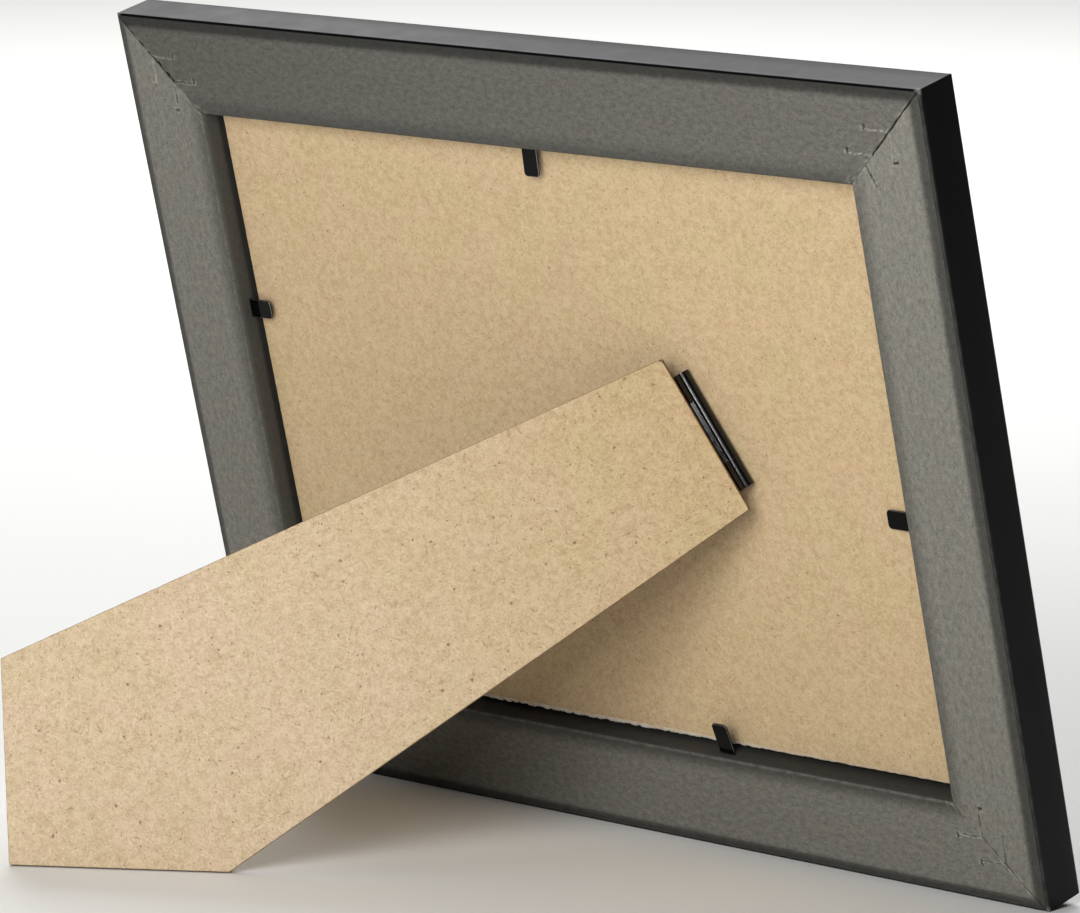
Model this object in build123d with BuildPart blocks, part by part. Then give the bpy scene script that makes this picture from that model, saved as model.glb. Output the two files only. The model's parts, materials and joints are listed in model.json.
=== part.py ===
# Photo frame with an easel back, standing on a long side with its strut open.
# The front faces -Y, the strut stands towards +Y, and the table is at Z = 0. Lengths are in millimetres.
# Left and right are as seen from the front.
import os
from math import atan2, cos, degrees, hypot, radians, sin

from build123d import *

os.makedirs("parts", exist_ok=True)

# The whole frame
outer_width = 227.0
outer_height = 175.0
wide_lean = 14.2  # degrees back from upright, standing on a long side
tall_lean = 21.1  # degrees back from upright, standing on a short side

# What lies in the rebate, from the back to the front
board_recess = 4.65  # back of the rails down to the board
board_thickness = 2.4
board_play = 1.1  # board to rebate wall, each side
insert_thickness = 0.25
glass_thickness = 1.5
pane_play = 0.6  # glass and insert to rebate wall, each side

# Section of the moulding
rail_width = 21.5  # outer side to rebate wall
lip_width = 5.0
lip_thickness = 2.0
crown = 1.2  # swell of the front face
sight_bevel = 0.8
front_round = 1.0
band_width = 2.2  # wrapping foil that laps onto the back
band_step = 0.3
edge_round = 0.5  # outer edge of the back
inner_round = 1.2  # inner edge of the back

# V nails that draw each mitre together
nail_place_shares = (0.44, 0.69)  # of the rail's width, from its outer side
nail_leg = 6.0
nail_flare = 1.2  # turned-out end of each leg
nail_thickness = 0.45
nail_height = 7.0
nail_sink = 0.4
nail_play = 0.04

# Steel tabs that hold the board in
tab_width = 4.15
tab_length = 15.0
tab_thickness = 0.45
tab_round = 0.9
tab_play = 0.05  # round the driven half, in its slot
bend_play = 0.12  # bent blade to rebate wall
bend_gap = 0.06  # driven half to blade

# Easel strut
strut_opening = 41.0  # degrees between strut and board
strut_thickness = 2.4
strut_head = 35.6
head_gap = 1.83  # pin's axis to the strut's head
wide_foot = 46.6  # foot edge that stands on the table when the frame is wide
tall_foot = 43.0  # foot edge that stands on the table when the frame is tall

# Strut hinge
hinge_across = 40.96  # right of the frame's middle, seen from behind
hinge_up = 95.15  # above the frame's lower edge
hinge_slant = 29.4  # degrees between the pin and the frame's short side
barrel_length = 26.9
middle_knuckle = 14.0
knuckle_gap = 0.1
pin_radius = 0.75
pin_play = 0.04
pin_inset = 0.15
leaf_thickness = 0.6
leaf_reach = 14.0
leaf_round = 2.0
leaf_play = 0.3  # leaf to the other leaf's knuckle
leaf_drop = 0.34  # strut's leaf below the top of its knuckle
roll_seam = 0.15
stop_proud = 0.1  # strut leaf's edge past the strut's head
stop_reach = 0.08  # stop lip past the edge that it stops
stop_play = 0.04
prong_width = 2.4
prong_length = 1.7
prong_play = 0.03
prong_place_shares = (0.38, 0.80)  # of the leaf's reach

# Past the surface, for every cut
overrun = 1.0

# Sizes that follow from these
rebate_depth = board_recess + board_thickness + insert_thickness + glass_thickness
side_depth = rebate_depth + lip_thickness
sight_width = rail_width + lip_width
knuckle_bore = pin_radius + pin_play
knuckle_radius = knuckle_bore + leaf_thickness
strut_seat = knuckle_radius - leaf_drop
end_knuckle = (barrel_length - middle_knuckle) / 2 - knuckle_gap
stop_edge = head_gap - stop_proud
stop_radius = hypot(stop_edge, strut_seat)
stop_turn = strut_opening + degrees(atan2(strut_seat, stop_edge) + stop_play / stop_radius)
tab_bend = tab_thickness / 2 + bend_play

# Rails in order round the frame, seen from behind: name, turn, length, and the frame's size across them
rails = (
    ("bottom_rail", 0, outer_width, outer_height),
    ("left_rail", 90, outer_height, outer_width),
    ("top_rail", 180, outer_width, outer_height),
    ("right_rail", 270, outer_height, outer_width),
)
corner_names = ("bottom_left", "top_left", "top_right", "bottom_right")

# How each tab was driven in: share of the rail's length from its middle, share of the tab left out, and
# share of the recess between the board and the tab
tab_shares = {
    "bottom_rail": (0.132, 0.487, 0.54),
    "left_rail": (-0.040, 0.55, 0.06),
    "top_rail": (-0.010, 0.445, 0.32),
    "right_rail": (-0.118, 0.42, 0.25),
}
tab_rises = {"bottom_rail": 11, "left_rail": 0, "top_rail": 4, "right_rail": 0}  # degrees, blade bent out


# How far the rounded lower edge lifts the frame's sharp corner line off the table
def edge_lift(lean):
    turn = radians(lean)
    return edge_round * (cos(turn) + sin(turn) - 1) + band_step * sin(turn)


# Plane of the hinge, X towards the foot of the folded strut, Z out of the back, and the same turned open
def hinge_planes(back):
    axis_height = knuckle_radius - board_recess
    fold = Plane(back * Pos(hinge_across, hinge_up, axis_height) * Rot(0, 0, 180 + hinge_slant))
    return fold, Plane(fold * Rot(0, -strut_opening, 0))


# Line along which a table cuts the strut's inner face, as the factors of a * x + b * y = c
def table_line(face, up, rest):
    return face.x_dir.dot(up), face.y_dir.dot(up), up.dot(rest - face.origin)


# Corners of the strut, with each foot edge flat on the table at its own lean
def strut_corners(back, face):
    tall_turn = radians(tall_lean)
    tall_up = back.x_dir * cos(tall_turn) - back.z_dir * sin(tall_turn)
    tall_rest = back.origin - back.x_dir * (outer_width / 2) + tall_up * edge_lift(tall_lean)
    wide_x, wide_y, wide_c = table_line(face, Vector(0, 0, 1), Vector(0, 0, 0))
    tall_x, tall_y, tall_c = table_line(face, tall_up, tall_rest)
    cross = wide_x * tall_y - wide_y * tall_x
    toe = Vector((wide_c * tall_y - tall_c * wide_y) / cross, (wide_x * tall_c - tall_x * wide_c) / cross)
    wide_heel = toe + Vector(wide_y, -wide_x).normalized() * wide_foot
    tall_heel = toe + Vector(-tall_y, tall_x).normalized() * tall_foot
    return (head_gap, -strut_head / 2), (head_gap, strut_head / 2), wide_heel, toe, tall_heel


# The back of the rails as a leaning plane: X right and Y up as seen from behind, Z out of the back.
# It is first set at Y = 0, to find how far the toe reaches, and then moved to centre the whole on Y.
lean_turn = radians(wide_lean)
leaning_out = (0, cos(lean_turn), -sin(lean_turn))
unplaced = Plane(origin=(0, 0, -edge_lift(wide_lean)), x_dir=(-1, 0, 0), z_dir=leaning_out)
unplaced_strut = hinge_planes(unplaced)[1]
toe_corner = strut_corners(unplaced, unplaced_strut.offset(strut_seat))[3]
outer_face = unplaced_strut.offset(strut_seat + strut_thickness)
back_reach = outer_face.from_local_coords(toe_corner).Y
front_reach = side_depth * cos(lean_turn)
back_plane = Plane(
    origin=unplaced.origin + Vector(0, (front_reach - back_reach) / 2),
    x_dir=unplaced.x_dir,
    z_dir=unplaced.z_dir,
)
fold_plane, strut_plane = hinge_planes(back_plane)
strut_face = strut_plane.offset(strut_seat)
middle_plane = Plane(back_plane * Pos(0, outer_height / 2))
board_section = Plane(fold_plane * Plane.XZ.location)
strut_section = Plane(strut_plane * Plane.XZ.location)


# Plane of one rail: X along it, Y from its outer side inwards, Z out of the back
def rail_plane(turn, across):
    return Plane(middle_plane * Rot(0, 0, turn) * Pos(0, -across / 2))


# Plane of a corner: X along the next rail and Y along this one, from the outer corner
def corner_plane(turn, span, across):
    return Plane(rail_plane(turn, across) * Pos(span / 2, 0) * Rot(0, 0, 90))


# Plane of a tab's driven half, at the rebate wall: X along the rail, Y inwards, Z out of the back
def tab_plane(name, turn, span, across):
    along_share, _, lift_share = tab_shares[name]
    wall = Pos(along_share * span, rail_width, (lift_share - 1) * board_recess)
    return Plane(rail_plane(turn, across) * wall)


# Plane of a tab's blade on the line where it bends, X along that line and Y along the blade
def blade_plane(name, seat):
    return Plane(seat * Pos(0, tab_bend, tab_thickness / 2) * Rot(tab_rises[name], 0, 0))


# Plan of one V nail, its point on the mitre and a leg along each rail, turned out at the end
def vee_plan(corner, place, grow):
    tip = place + nail_leg
    flare = nail_flare * sin(radians(45))
    with BuildSketch(corner) as plan:
        with BuildLine():
            Polyline(
                (tip + flare, place - flare),
                (tip, place),
                (place, place),
                (place, tip),
                (place - flare, tip + flare),
            )
            offset(amount=nail_thickness / 2 + grow, kind=Kind.INTERSECTION)
        make_face()
    return plan.sketch


# Section of a knuckle, rolled from a strip that lies under its leaf's seat, with the seam of the roll
def knuckle_roll(section, seat, side, strip):
    with BuildSketch(section) as roll:
        Circle(knuckle_radius)
        with Locations((0, side * (seat - leaf_thickness / 2))):
            Rectangle(strip, leaf_thickness, align=(Align.MIN, Align.CENTER))
        Circle(knuckle_bore, mode=Mode.SUBTRACT)
        with Locations((0, side * (seat - leaf_thickness - roll_seam / 2))):
            Rectangle(strip, roll_seam, align=(Align.MIN, Align.CENTER), mode=Mode.SUBTRACT)
    return roll.sketch


# Lip turned out of an end knuckle, that meets the edge of the strut's leaf when the strut is fully open
def stop_lip(section):
    with BuildSketch(section) as lip:
        with Locations(Rot(0, 0, stop_turn) * Pos(knuckle_bore, 0)):
            reach = stop_radius + stop_reach - knuckle_bore
            Rectangle(reach, leaf_thickness, align=(Align.MIN, Align.MIN))
    return lip.sketch


# Triangle of a prong, from the leaf's seat into the fibreboard
def prong_shape(section, place, seat, side, grow):
    half = prong_width / 2 + grow
    tip = side * (seat + prong_length + grow)
    with BuildSketch(section) as shape:
        with BuildLine():
            Polyline((place - half, side * seat), (place + half, side * seat), (place, tip), close=True)
        make_face()
    return shape.sketch


# Each prong of a leaf, or its pocket: shape, and the length to extrude it inwards from the leaf's side
def leaf_prongs(section, seat, side, grow):
    prongs = []
    for end in (1, -1):
        side_section = section.offset(end * (barrel_length / 2 + grow))
        for share in prong_place_shares:
            shape = prong_shape(side_section, share * leaf_reach, seat, side, grow)
            prongs.append((shape, -end * (leaf_thickness + 2 * grow)))
    return prongs


# Rails: a length of moulding, mitred at both ends and slotted for the nails and its tab
for index, (name, turn, span, across) in enumerate(rails):
    along = rail_plane(turn, across)
    tab_seat = tab_plane(name, turn, span, across)
    driven = tab_length * (1 - tab_shares[name][1])
    last_name, last_turn, last_span, last_across = rails[index - 1]
    with BuildPart() as rail:
        with BuildSketch(Plane(along * Plane.YZ.location)) as section:
            with BuildLine():
                sides = Polyline(
                    (0, -side_depth),
                    (0, -band_step),
                    (band_width, -band_step),
                    (band_width + band_step, 0),
                    (rail_width, 0),
                    (rail_width, -rebate_depth),
                    (sight_width, -rebate_depth),
                    (sight_width, sight_bevel - side_depth),
                    (sight_width - sight_bevel, -side_depth),
                )
                SagittaArc(sides @ 1, sides @ 0, crown)
            make_face()
            outer_corners = section.vertices().group_by(Axis.X)[0].sort_by(Axis.Y)
            inner_corner = section.vertices().group_by(Axis.Y)[-1].sort_by(Axis.X)[-1]
            fillet(outer_corners[-1], edge_round)
            fillet(inner_corner, inner_round)
            fillet(section.vertices().group_by(Axis.X)[0].sort_by(Axis.Y)[0], front_round)
        extrude(amount=span / 2, both=True)
        for end in (1, -1):
            mitre = Plane(along * Pos(end * span / 2, 0) * Rot(0, 0, 90 - end * 45) * Plane.YZ.location)
            split(bisect_by=mitre, keep=Keep.BOTTOM)
        for corner in (corner_plane(turn, span, across), corner_plane(last_turn, last_span, last_across)):
            for share in nail_place_shares:
                slot = vee_plan(corner.offset(overrun), share * rail_width, nail_play)
                extrude(slot, amount=-(overrun + nail_sink + nail_height + nail_play), mode=Mode.SUBTRACT)
        with BuildSketch(tab_seat.offset(-tab_play)):
            with Locations((0, overrun)):
                slot_length = overrun + driven + tab_play
                Rectangle(tab_width + 2 * tab_play, slot_length, align=(Align.CENTER, Align.MAX))
        extrude(amount=tab_thickness + 2 * tab_play, mode=Mode.SUBTRACT)
    rail.part.label = name
    export_step(rail.part, f"parts/{name}.step")

# V nails: the pair in each mitre
for name, (rail_name, turn, span, across) in zip(corner_names, rails):
    corner = corner_plane(turn, span, across).offset(-nail_sink)
    with BuildPart() as nails:
        for share in nail_place_shares:
            extrude(vee_plan(corner, share * rail_width, 0), amount=-nail_height)
    nails.part.label = f"{name}_nails"
    export_step(nails.part, f"parts/{name}_nails.step")

# Tabs: the half driven into the rail, and the blade that bends at the rebate wall
for name, turn, span, across in rails:
    tab_name = name.replace("rail", "tab")
    seat = tab_plane(name, turn, span, across)
    blade_length = tab_length * tab_shares[name][1]
    with BuildPart() as root:
        with BuildSketch(seat):
            root_end = tab_bend - tab_thickness / 2 - bend_gap
            with Locations((0, root_end)):
                root_length = tab_length - blade_length + root_end
                Rectangle(tab_width, root_length, align=(Align.CENTER, Align.MAX))
        extrude(amount=tab_thickness)
    root.part.label = f"{tab_name}_root"
    export_step(root.part, f"parts/{tab_name}_root.step")

    bend = blade_plane(name, seat)
    with BuildPart() as blade:
        with BuildSketch(Plane(bend * Plane.YZ.location)):
            with BuildLine():
                strip = Polyline(
                    (0, -tab_thickness / 2),
                    (blade_length - tab_bend, -tab_thickness / 2),
                    (blade_length - tab_bend, tab_thickness / 2),
                    (0, tab_thickness / 2),
                )
                ThreePointArc(strip @ 1, (-tab_thickness / 2, 0), strip @ 0)
            make_face()
        extrude(amount=tab_width / 2, both=True)
        fillet(blade.edges().filter_by(Axis((0, 0, 0), bend.z_dir)), tab_round)
    blade.part.label = f"{tab_name}_blade"
    export_step(blade.part, f"parts/{tab_name}_blade.step")

# Glass on the front lip
pane_width = outer_width - 2 * (rail_width + pane_play)
pane_height = outer_height - 2 * (rail_width + pane_play)
with BuildPart() as glass:
    with BuildSketch(middle_plane.offset(-rebate_depth)):
        Rectangle(pane_width, pane_height)
    extrude(amount=glass_thickness)
glass.part.label = "glass"
export_step(glass.part, "parts/glass.step")

# Plain paper insert, behind the glass
with BuildPart() as paper_insert:
    with BuildSketch(middle_plane.offset(glass_thickness - rebate_depth)):
        Rectangle(pane_width, pane_height)
    extrude(amount=insert_thickness)
paper_insert.part.label = "paper_insert"
export_step(paper_insert.part, "parts/paper_insert.step")

# Backing board, with pockets for the prongs of the hinge
with BuildPart() as backing_board:
    with BuildSketch(middle_plane.offset(-board_recess)):
        board_margin = 2 * (rail_width + board_play)
        Rectangle(outer_width - board_margin, outer_height - board_margin)
    extrude(amount=-board_thickness)
    for shape, length in leaf_prongs(board_section, knuckle_radius, -1, prong_play):
        extrude(shape, amount=length, mode=Mode.SUBTRACT)
backing_board.part.label = "backing_board"
export_step(backing_board.part, "parts/backing_board.step")

# Easel strut, tapered, with a two-edged foot and pockets for the prongs
with BuildPart() as easel_strut:
    with BuildSketch(strut_face):
        with BuildLine():
            Polyline(*strut_corners(back_plane, strut_face), close=True)
        make_face()
    extrude(amount=strut_thickness)
    for shape, length in leaf_prongs(strut_section, strut_seat, 1, prong_play):
        extrude(shape, amount=length, mode=Mode.SUBTRACT)
easel_strut.part.label = "easel_strut"
export_step(easel_strut.part, "parts/easel_strut.step")

# Hinge leaf on the board: a plate with two end knuckles, each with a stop lip
board_notch = knuckle_radius + leaf_play
with BuildPart() as board_leaf:
    with BuildSketch(fold_plane.offset(-knuckle_radius)):
        with Locations((board_notch, 0)):
            plate = Rectangle(leaf_reach - board_notch, barrel_length, align=(Align.MIN, Align.CENTER))
        fillet(plate.vertices().group_by(Axis.X)[-1], leaf_round)
    extrude(amount=leaf_thickness)
    for end in (1, -1):
        end_section = board_section.offset(end * (barrel_length - end_knuckle) / 2)
        roll = knuckle_roll(end_section, knuckle_radius, -1, board_notch)
        extrude(roll, amount=end_knuckle / 2, both=True)
        extrude(stop_lip(end_section), amount=end_knuckle / 2, both=True)
    for shape, length in leaf_prongs(board_section, knuckle_radius, -1, 0):
        extrude(shape, amount=length)
board_leaf.part.label = "hinge_board_leaf"
export_step(board_leaf.part, "parts/hinge_board_leaf.step")

# Hinge leaf on the strut: a plate with the middle knuckle
with BuildPart() as strut_leaf:
    with BuildSketch(strut_plane.offset(strut_seat - leaf_thickness)):
        with Locations((stop_edge, 0)):
            plate = Rectangle(leaf_reach - stop_edge, barrel_length, align=(Align.MIN, Align.CENTER))
        fillet(plate.vertices().group_by(Axis.X)[-1], leaf_round)
    extrude(amount=leaf_thickness)
    extrude(knuckle_roll(strut_section, strut_seat, 1, stop_edge), amount=middle_knuckle / 2, both=True)
    for shape, length in leaf_prongs(strut_section, strut_seat, 1, 0):
        extrude(shape, amount=length)
strut_leaf.part.label = "hinge_strut_leaf"
export_step(strut_leaf.part, "parts/hinge_strut_leaf.step")

# Hinge pin
with BuildPart() as hinge_pin:
    with BuildSketch(board_section):
        Circle(pin_radius)
    extrude(amount=barrel_length / 2 - pin_inset, both=True)
hinge_pin.part.label = "hinge_pin"
export_step(hinge_pin.part, "parts/hinge_pin.step")
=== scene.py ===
import json
import math

import bmesh
import bpy
from mathutils import Matrix, Vector, noise
from mathutils.geometry import convex_hull_2d


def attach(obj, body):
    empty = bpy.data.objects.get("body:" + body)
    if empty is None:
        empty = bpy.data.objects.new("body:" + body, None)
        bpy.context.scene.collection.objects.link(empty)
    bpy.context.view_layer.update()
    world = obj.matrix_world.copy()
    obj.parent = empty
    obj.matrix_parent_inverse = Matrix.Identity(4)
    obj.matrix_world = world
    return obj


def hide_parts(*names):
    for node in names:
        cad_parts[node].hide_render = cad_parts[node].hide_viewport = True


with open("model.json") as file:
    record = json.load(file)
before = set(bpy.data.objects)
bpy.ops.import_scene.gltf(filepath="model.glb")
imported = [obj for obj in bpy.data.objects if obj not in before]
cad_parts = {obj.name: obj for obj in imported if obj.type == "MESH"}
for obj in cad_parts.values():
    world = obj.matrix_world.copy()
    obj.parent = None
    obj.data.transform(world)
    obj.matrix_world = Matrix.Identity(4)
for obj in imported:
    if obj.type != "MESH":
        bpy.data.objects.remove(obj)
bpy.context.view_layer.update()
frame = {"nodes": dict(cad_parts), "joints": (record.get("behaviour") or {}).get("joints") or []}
mm = 0.001  # the frame is in metres, the sizes below are in millimetres
print("frame loaded:", len(frame["nodes"]), "nodes")


# Small helpers

def linear(hexColour):  # sRGB hex to a linear colour
    channels = [int(hexColour[i:i + 2], 16) / 255 for i in (1, 3, 5)]
    return [c / 12.92 if c <= 0.04045 else ((c + 0.055) / 1.055) ** 2.4 for c in channels] + [1.0]


def addNode(tree, kind, inputs=None, **settings):  # sockets are linked, plain values are set
    node = tree.nodes.new(kind)
    for name, value in settings.items():
        setattr(node, name, value)
    for key, value in (inputs or {}).items():
        if isinstance(value, bpy.types.NodeSocket):
            tree.links.new(value, node.inputs[key])
        else:
            node.inputs[key].default_value = value
    return node


def newMaterial(name):  # an empty tree with its shader
    material = bpy.data.materials.new(name)
    material.use_nodes = True
    tree = material.node_tree
    tree.nodes.clear()
    shader = addNode(tree, "ShaderNodeBsdfPrincipled")
    addNode(tree, "ShaderNodeOutputMaterial", {"Surface": shader.outputs["BSDF"]})
    return material, tree, shader


def ramp(value, low, high):  # 0 to 1, eased
    share = min(max((value - low) / (high - low), 0.0), 1.0)
    return share * share * (3 - 2 * share)


def bell(value, width):
    return math.exp(-(value / width) ** 2)


def steps(low, high, size):  # evenly spaced values from low up to, not with, high
    count = max(1, round((high - low) / size))
    return [low + (high - low) * i / count for i in range(count)]


def arc(centre, radius, start, end, count):  # points of an arc, angles in degrees
    turns = [math.radians(start + (end - start) * i / count) for i in range(count + 1)]
    return [(centre[0] + radius * math.cos(a), centre[1] + radius * math.sin(a)) for a in turns]


def addPiece(name, mesh, body, nodes):
    piece = bpy.data.objects.new(name, mesh)
    bpy.context.scene.collection.objects.link(piece)
    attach(piece, body)
    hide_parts(*nodes)
    return piece


# Where the back of the frame lies: x right and y up as seen from behind, z out of the back

def cornersOf(node):
    return [v.co.copy() for v in frame["nodes"][node].data.vertices]


def reach(points, axis):
    spans = [p.dot(axis) for p in points]
    return min(spans), max(spans)


joints = {joint["name"]: joint for joint in frame["joints"]}
railNames = ["bottom_rail", "left_rail", "top_rail", "right_rail"]
cornerNames = ["bottom_left", "top_left", "top_right", "bottom_right"]
railPoints = [p for name in railNames for p in cornersOf(name)]
across = Vector((-1, 0, 0))
upward = Vector(joints["left_tab_bend"]["axis"]).normalized()
outward = across.cross(upward)
sideLow, sideHigh = reach(railPoints, across)
edgeLow, edgeHigh = reach(railPoints, upward)
backHigh = reach(railPoints, outward)[1]
middle = across * (sideLow + sideHigh) / 2 + upward * (edgeLow + edgeHigh) / 2 + outward * backHigh
home = Matrix((across, upward, outward)).transposed().to_4x4()
home.translation = middle
outerSize = ((sideHigh - sideLow) / mm, (edgeHigh - edgeLow) / mm)


# Materials

foil = dict(colour="#060808", rubbedAndSheen="#6b6e69", grain=0.35, smear=9.0)


def makeFoil():
    # Black printed foil, hot-wrapped over the moulding: satin, with a fine emboss that breaks its highlights
    material, tree, shader = newMaterial("satin black foil, hot wrapped")
    place = addNode(tree, "ShaderNodeAttribute", attribute_name="along")
    emboss = addNode(tree, "ShaderNodeTexNoise", {"Vector": place.outputs["Vector"],
                                                  "Scale": 1 / (foil["grain"] * mm), "Detail": 2.0})
    smear = addNode(tree, "ShaderNodeTexNoise", {"Vector": place.outputs["Vector"],
                                                 "Scale": 1 / (foil["smear"] * mm), "Detail": 3.0})
    marks = addNode(tree, "ShaderNodeAttribute", attribute_name="marks")
    marksSplit = addNode(tree, "ShaderNodeSeparateXYZ", {"Vector": marks.outputs["Vector"]})
    # Painted highlight and wear: the foil is drawn paler where the marks say, along the outer edge's round of some
    # rails as a stand-in for light caught there, and at the worn corner tips
    worn = addNode(tree, "ShaderNodeMix", {"Factor": marksSplit.outputs["Y"], 6: linear(foil["colour"]),
                                           7: linear(foil["rubbedAndSheen"])}, data_type="RGBA")
    rough = addNode(tree, "ShaderNodeMapRange", {"Value": smear.outputs["Fac"], "From Min": 0.3, "From Max": 0.7,
                                                 "To Min": 0.30, "To Max": 0.40})
    bump = addNode(tree, "ShaderNodeBump", {"Height": emboss.outputs["Fac"], "Strength": 0.25,
                                            "Distance": 0.02 * mm})
    tree.links.new(worn.outputs[2], shader.inputs["Base Color"])
    tree.links.new(rough.outputs["Result"], shader.inputs["Roughness"])
    tree.links.new(bump.outputs["Normal"], shader.inputs["Normal"])
    shader.inputs["IOR"].default_value = 1.46
    shader.inputs["Specular IOR Level"].default_value = 0.11
    return material


core = dict(pale="#969389", deep="#595954", cool="#74776f", warm="#7d766f", crack="#141413", fibre="#a9a69d",
            clump=1.1, grain=0.45, draw=0.65, drift=6.0, tear=0.8, tint=0.25, wallPale="#50504c", wallDeep="#383835")


def makeCore(name, pale, deep):
    # Fibreboard core of the moulding, coated grey: matt and mottled, with pale torn fibre where it was cut or nailed
    material, tree, shader = newMaterial(name)
    place = addNode(tree, "ShaderNodeAttribute", attribute_name="along")
    vector = place.outputs["Vector"]
    drawn = addNode(tree, "ShaderNodeVectorMath", {0: vector, 1: (core["draw"], 1, 1)}, operation="MULTIPLY")
    clump = addNode(tree, "ShaderNodeTexNoise", {"Vector": drawn.outputs["Vector"], "Detail": 3.0, "Roughness": 0.6,
                                                 "Scale": 1 / (core["clump"] * mm)})
    grain = addNode(tree, "ShaderNodeTexNoise", {"Vector": vector, "Scale": 1 / (core["grain"] * mm), "Detail": 2.0,
                                                 "Roughness": 0.7})
    drift = addNode(tree, "ShaderNodeTexNoise", {"Vector": vector, "Scale": 1 / (core["drift"] * mm), "Detail": 2.0})
    tone = addNode(tree, "ShaderNodeMath", {0: clump.outputs["Fac"], 1: grain.outputs["Fac"]}, operation="ADD")
    toneShare = addNode(tree, "ShaderNodeMapRange", {"Value": tone.outputs["Value"], "From Min": 0.66,
                                                     "From Max": 1.34})
    mottle = addNode(tree, "ShaderNodeMix", {"Factor": toneShare.outputs["Result"], 6: linear(deep),
                                             7: linear(pale)}, data_type="RGBA")
    hueShare = addNode(tree, "ShaderNodeMapRange", {"Value": drift.outputs["Fac"], "From Min": 0.35,
                                                    "From Max": 0.65})
    hue = addNode(tree, "ShaderNodeMix", {"Factor": hueShare.outputs["Result"], 6: linear(core["cool"]),
                                          7: linear(core["warm"])}, data_type="RGBA")
    tinted = addNode(tree, "ShaderNodeMix", {"Factor": core["tint"], 6: mottle.outputs[2], 7: hue.outputs[2]},
                     data_type="RGBA")
    paintedLight = addNode(tree, "ShaderNodeAttribute", attribute_name="paintedLight")  # painted light and shade: each length of moulding is drawn lighter or darker, graded along it, as the light falls
    shaded = addNode(tree, "ShaderNodeVectorMath", {0: tinted.outputs[2], "Scale": paintedLight.outputs["Fac"]},
                     operation="SCALE")
    marks = addNode(tree, "ShaderNodeAttribute", attribute_name="marks")
    marksSplit = addNode(tree, "ShaderNodeSeparateXYZ", {"Vector": marks.outputs["Vector"]})
    fray = addNode(tree, "ShaderNodeTexNoise", {"Vector": vector, "Scale": 1 / (core["tear"] * mm), "Detail": 3.0,
                                                "Roughness": 0.75})
    frayShare = addNode(tree, "ShaderNodeMapRange", {"Value": fray.outputs["Fac"], "From Min": 0.5,
                                                     "From Max": 0.68})
    edgeFray = addNode(tree, "ShaderNodeMath", {0: frayShare.outputs["Result"], 1: marksSplit.outputs["Z"]},
                       operation="MULTIPLY")
    torn = addNode(tree, "ShaderNodeMath", {0: edgeFray.outputs["Value"], 1: marksSplit.outputs["Y"]},
                   operation="MAXIMUM")
    withFibre = addNode(tree, "ShaderNodeMix", {"Factor": torn.outputs["Value"], 6: shaded.outputs["Vector"],
                                                7: linear(core["fibre"])}, data_type="RGBA")
    withCrack = addNode(tree, "ShaderNodeMix", {"Factor": marksSplit.outputs["X"], 6: withFibre.outputs[2],
                                                7: linear(core["crack"])}, data_type="RGBA")
    # Painted sheen and shade: the foil band along the outer edge of the back is drawn as the grey coat made darker,
    # standing in for the black foil's reflection; the back is also made darker towards the inner edge, and the lower
    # rebate wall carries painted shade
    darkening = addNode(tree, "ShaderNodeAttribute", attribute_name="darkening")  # how much darker the coat is drawn
    undarkened = addNode(tree, "ShaderNodeMath", {0: 1.0, 1: darkening.outputs["Fac"]}, operation="SUBTRACT")
    darkened = addNode(tree, "ShaderNodeVectorMath", {0: withCrack.outputs[2], "Scale": undarkened.outputs["Value"]},
                     operation="SCALE")
    rough = addNode(tree, "ShaderNodeMapRange", {"Value": darkening.outputs["Fac"], "To Min": 0.8, "To Max": 0.45})
    bump = addNode(tree, "ShaderNodeBump", {"Height": tone.outputs["Value"], "Strength": 0.5, "Distance": 0.05 * mm})
    tree.links.new(darkened.outputs["Vector"], shader.inputs["Base Color"])
    tree.links.new(rough.outputs["Result"], shader.inputs["Roughness"])
    tree.links.new(bump.outputs["Normal"], shader.inputs["Normal"])
    shader.inputs["Specular IOR Level"].default_value = 0.3
    return material


fibreboard = dict(clump=1.5, grain=0.5, drift=14.0, fibreLong=0.95, fibreWide=0.17, fibreApart=2.2,
                  fibreTurns=(15, 52, 95, 148), darkFibre=(0.69, 0.77), paleFibre=(0.36, 0.27),
                  speckVary=0.75, speckRim=0.65, speckHeart=0.2, speckDark=0.75)


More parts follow.
